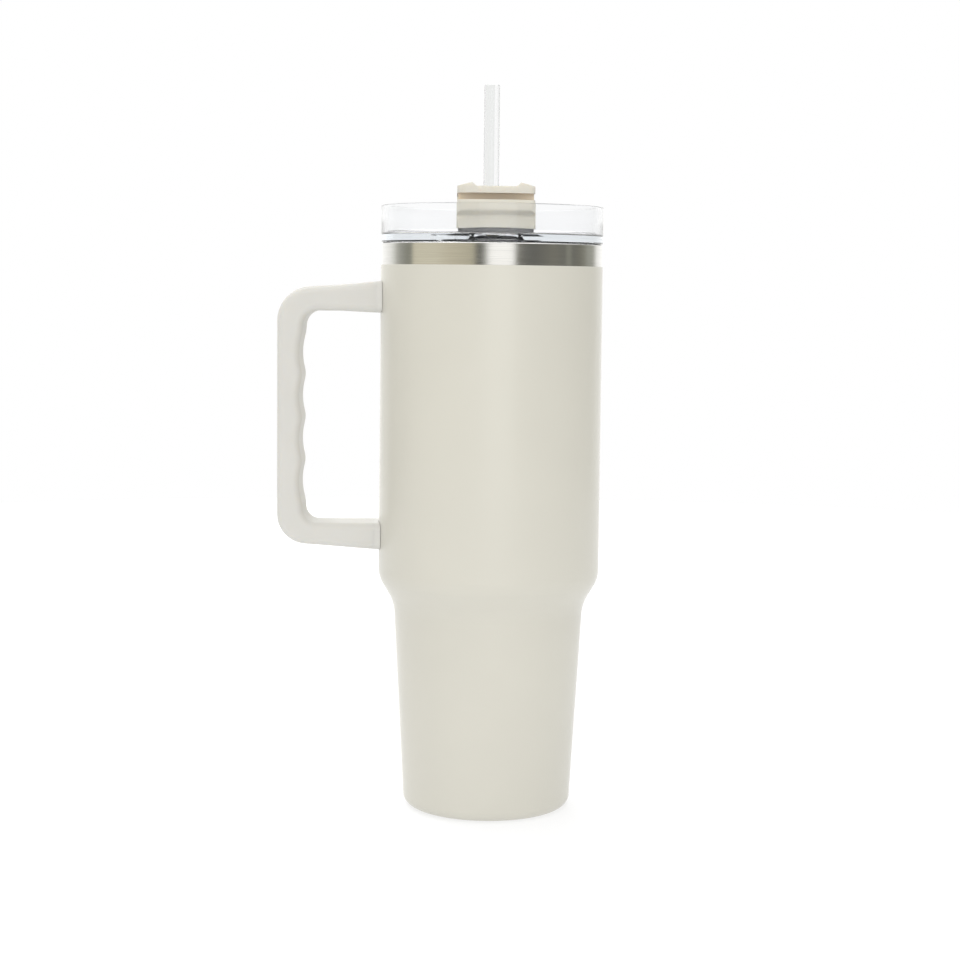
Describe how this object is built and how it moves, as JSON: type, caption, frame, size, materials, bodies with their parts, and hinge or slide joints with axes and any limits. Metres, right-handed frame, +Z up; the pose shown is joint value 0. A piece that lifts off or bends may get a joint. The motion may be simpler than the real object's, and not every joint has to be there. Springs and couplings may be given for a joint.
{
  "type": "insulated tumbler with lid",
  "caption": "Tall double-walled steel tumbler with a tapered base, looped finger-grip handle, clear lid, turning mouth cover and straw.",
  "frame": {"origin": "centre of the foot pad's underside, on the cup's axis", "axes": "+Z up along the cup's axis, -X towards the handle, -Y towards the front end of the cover"},
  "size_m": [0.1439, 0.099, 0.3244],
  "materials": {
    "steel": "fine brushing round the cup",
    "liner_steel": "electropolished inside",
    "coat": "satin cream powder coat over steel",
    "bracket_coat": "satin powder coat over steel, in the handle's tone",
    "handle_plastic": "satin moulded plastic",
    "cover_plastic": "satin moulded plastic",
    "clear_plastic": "clear polished plastic",
    "straw_plastic": "clear smooth tube",
    "clear_silicone": "translucent silicone",
    "grey_silicone": "grey silicone",
    "foot_silicone": "matt silicone",
    "screw_steel": "plain stainless steel",
    "sealant": "glass solder bead",
    "getter_metal": "sintered metal pill"
  },
  "bodies": {
    "cup": {"outer_shell": "steel", "powder_coat": "coat", "outer_bottom": "steel", "vacuum_seal": "sealant", "getter": "getter_metal", "base_pad": "foot_silicone", "inner_liner": "liner_steel", "liner_floor": "liner_steel", "handle": "handle_plastic", "handle_bracket_upper": "bracket_coat", "handle_bracket_lower": "bracket_coat", "handle_screws": "screw_steel"},
    "gasket": {"lid_gasket": "clear_silicone"},
    "lid": {"lid_body": "clear_plastic"},
    "cover": {"rotating_cover": "cover_plastic", "cover_gasket": "grey_silicone", "straw_seal": "grey_silicone", "cover_pivot": "cover_plastic", "pivot_clip": "screw_steel"},
    "straw": {"straw": "straw_plastic"}
  },
  "joints": [
    {"name": "lid_lift", "type": "slide", "parent": "cup", "child": "gasket", "axis": [0, 0, 1], "range_m": [0, 0.25]},
    {"name": "lid_turn", "type": "hinge", "parent": "gasket", "child": "lid", "pos_m": [0, 0, 0.2526], "axis": [0, 0, 1], "continuous": true},
    {"name": "cover_turn", "type": "hinge", "parent": "lid", "child": "cover", "pos_m": [0, 0, 0.2563], "axis": [0, 0, 1], "range_deg": [0, 50]},
    {"name": "straw_lift", "type": "slide", "parent": "cover", "child": "straw", "axis": [0, 0, 1], "range_m": [0, 0.27]}
  ]
}
